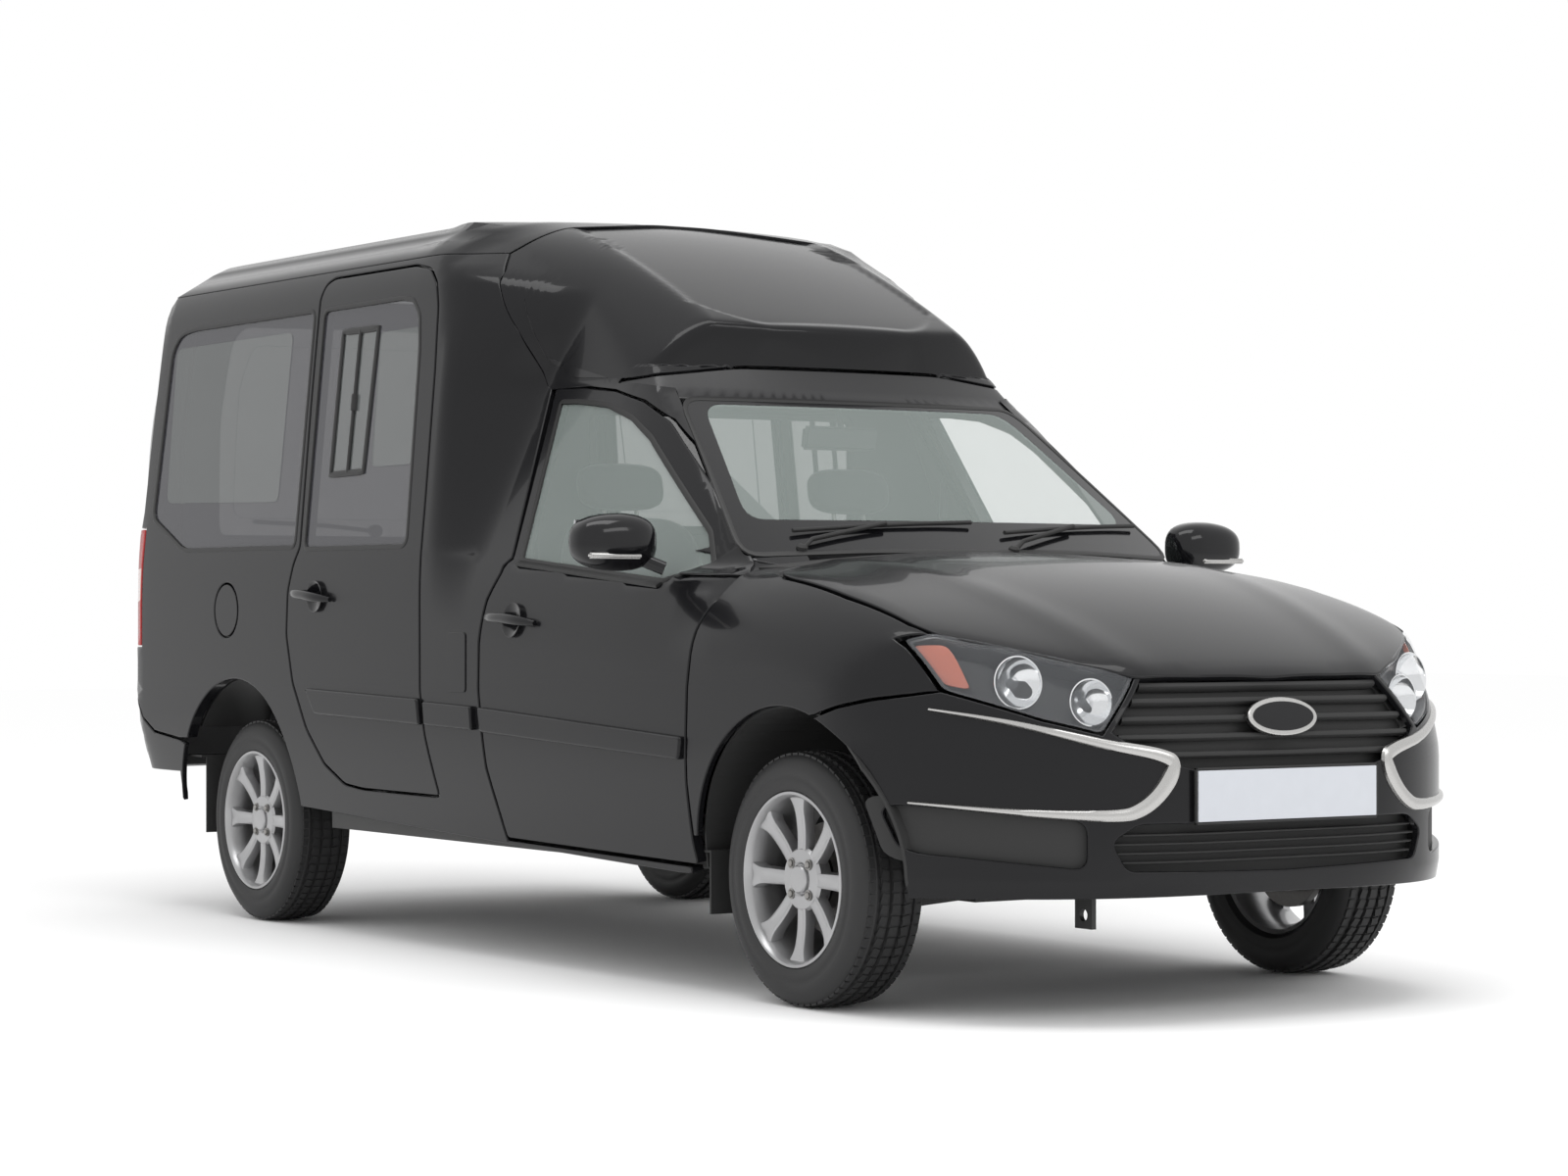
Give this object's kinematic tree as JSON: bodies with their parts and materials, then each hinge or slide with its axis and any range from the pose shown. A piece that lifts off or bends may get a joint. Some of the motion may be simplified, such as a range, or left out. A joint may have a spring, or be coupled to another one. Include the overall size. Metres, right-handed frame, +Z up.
{
  "type": "high-roof hearse",
  "caption": "Small high-roof hearse with a raised load body, top-hinged tailgate, four doors, opening bonnet and steered, rolling wheels.",
  "frame": {"origin": "on the ground, under the middle of the overall length, on the centre line", "axes": "+X forward, +Y to the car's left, +Z up"},
  "size_m": [4.45, 2.0256, 1.9746],
  "materials": {
    "paint": "glossy black metallic paint",
    "black_plastic": "grained black plastic",
    "chrome": "satin chrome trim",
    "lamp_lens": "clear lamp cover",
    "red_lens": "red lamp lens",
    "amber_lens": "amber lamp lens",
    "blank_plate": "plain pale plate, blank",
    "clear_glass": "clear glass with a faint green tint",
    "tinted_glass": "dark tinted glass",
    "interior": "dark grey grained plastic",
    "cloth": "dark grey woven seat cloth",
    "deck_metal": "brushed aluminium deck and rollers",
    "cast_metal": "bare cast metal",
    "underbody": "black underbody coating",
    "tyre": "black rubber",
    "alloy": "silver lacquered alloy",
    "exhaust_steel": "dull exhaust steel"
  },
  "bodies": {
    "body": {"body_shell": "paint", "roof_cap": "paint", "floor_pan": "underbody", "tow_eyes": "underbody", "front_fenders": "paint", "front_bumper": "paint", "rear_bumper": "paint", "grille": "black_plastic", "headlamps": "lamp_lens", "tail_lamps": "red_lens", "number_plates": "blank_plate", "windscreen": "clear_glass", "quarter_windows": "tinted_glass", "partition": "interior", "left_seat": "cloth", "right_seat": "cloth", "dashboard": "interior", "deck": "deck_metal", "engine": "cast_metal", "front_subframe": "underbody", "rear_axle": "underbody", "exhaust": "exhaust_steel", "fuel_tank": "black_plastic", "wheel_arch_liners": "black_plastic"},
    "bonnet": {"bonnet": "paint"},
    "left_front_door": {"left_front_door": "paint", "left_front_window": "clear_glass", "left_mirror": "paint"},
    "right_front_door": {"right_front_door": "paint", "right_front_window": "clear_glass", "right_mirror": "paint"},
    "left_side_door": {"left_side_door": "paint", "left_side_window": "tinted_glass"},
    "right_side_door": {"right_side_door": "paint", "right_side_window": "tinted_glass"},
    "tailgate": {"tailgate": "paint", "tailgate_window": "tinted_glass"},
    "fuel_flap": {"fuel_flap": "paint"},
    "steering_wheel": {"steering_wheel": "interior"},
    "left_knuckle": {"left_knuckle": "cast_metal"},
    "right_knuckle": {"right_knuckle": "cast_metal"},
    "front_left_wheel": {"front_left_tyre": "tyre", "front_left_rim": "alloy"},
    "front_right_wheel": {"front_right_tyre": "tyre", "front_right_rim": "alloy"},
    "rear_left_wheel": {"rear_left_tyre": "tyre", "rear_left_rim": "alloy"},
    "rear_right_wheel": {"rear_right_tyre": "tyre", "rear_right_rim": "alloy"}
  },
  "joints": [
    {"name": "bonnet_hinge", "type": "hinge", "parent": "body", "child": "bonnet", "pos_m": [1.117, 0, 1.056], "axis": [0, -1, 0], "range_deg": [0, 50]},
    {"name": "left_front_door_hinge", "type": "hinge", "parent": "body", "child": "left_front_door", "pos_m": [1.128, 0.837, 0.7], "axis": [0, 0.076, -0.9971], "range_deg": [0, 65]},
    {"name": "right_front_door_hinge", "type": "hinge", "parent": "body", "child": "right_front_door", "pos_m": [1.128, -0.837, 0.7], "axis": [0, 0.076, 0.9971], "range_deg": [0, 65]},
    {"name": "left_side_door_hinge", "type": "hinge", "parent": "body", "child": "left_side_door", "pos_m": [-0.172, 0.852, 0.9], "axis": [0, 0, -1], "range_deg": [0, 70]},
    {"name": "right_side_door_hinge", "type": "hinge", "parent": "body", "child": "right_side_door", "pos_m": [-0.172, -0.852, 0.9], "axis": [0, 0, 1], "range_deg": [0, 70]},
    {"name": "tailgate_hinge", "type": "hinge", "parent": "body", "child": "tailgate", "pos_m": [-2.062, 0, 1.925], "axis": [0, 1, 0], "range_deg": [0, 85]},
    {"name": "fuel_flap_hinge", "type": "hinge", "parent": "body", "child": "fuel_flap", "pos_m": [-1.388, -0.853, 0.902], "axis": [0, 0, 1], "range_deg": [0, 95]},
    {"name": "left_steer", "type": "hinge", "parent": "body", "child": "left_knuckle", "pos_m": [1.44, 0.65, 0.292], "axis": [0, 0, 1], "range_deg": [-35, 35]},
    {"name": "right_steer", "type": "hinge", "parent": "body", "child": "right_knuckle", "pos_m": [1.44, -0.65, 0.292], "axis": [0, 0, 1], "range_deg": [-35, 35]},
    {"name": "steering_wheel_turn", "type": "hinge", "parent": "body", "child": "steering_wheel", "pos_m": [0.64, 0.366, 0.905], "axis": [-0.9063, 0, 0.4226], "range_deg": [-540, 540]},
    {"name": "front_left_roll", "type": "hinge", "parent": "left_knuckle", "child": "front_left_wheel", "pos_m": [1.44, 0.715, 0.292], "axis": [0, 1, 0], "continuous": true},
    {"name": "front_right_roll", "type": "hinge", "parent": "right_knuckle", "child": "front_right_wheel", "pos_m": [1.44, -0.715, 0.292], "axis": [0, 1, 0], "continuous": true},
    {"name": "rear_left_roll", "type": "hinge", "parent": "body", "child": "rear_left_wheel", "pos_m": [-1.39, 0.707, 0.292], "axis": [0, 1, 0], "continuous": true},
    {"name": "rear_right_roll", "type": "hinge", "parent": "body", "child": "rear_right_wheel", "pos_m": [-1.39, -0.707, 0.292], "axis": [0, 1, 0], "continuous": true}
  ],
  "couplings": [
    {"joint": "right_steer", "follows": "left_steer", "ratio": 1},
    {"joint": "steering_wheel_turn", "follows": "left_steer", "ratio": 15}
  ]
}
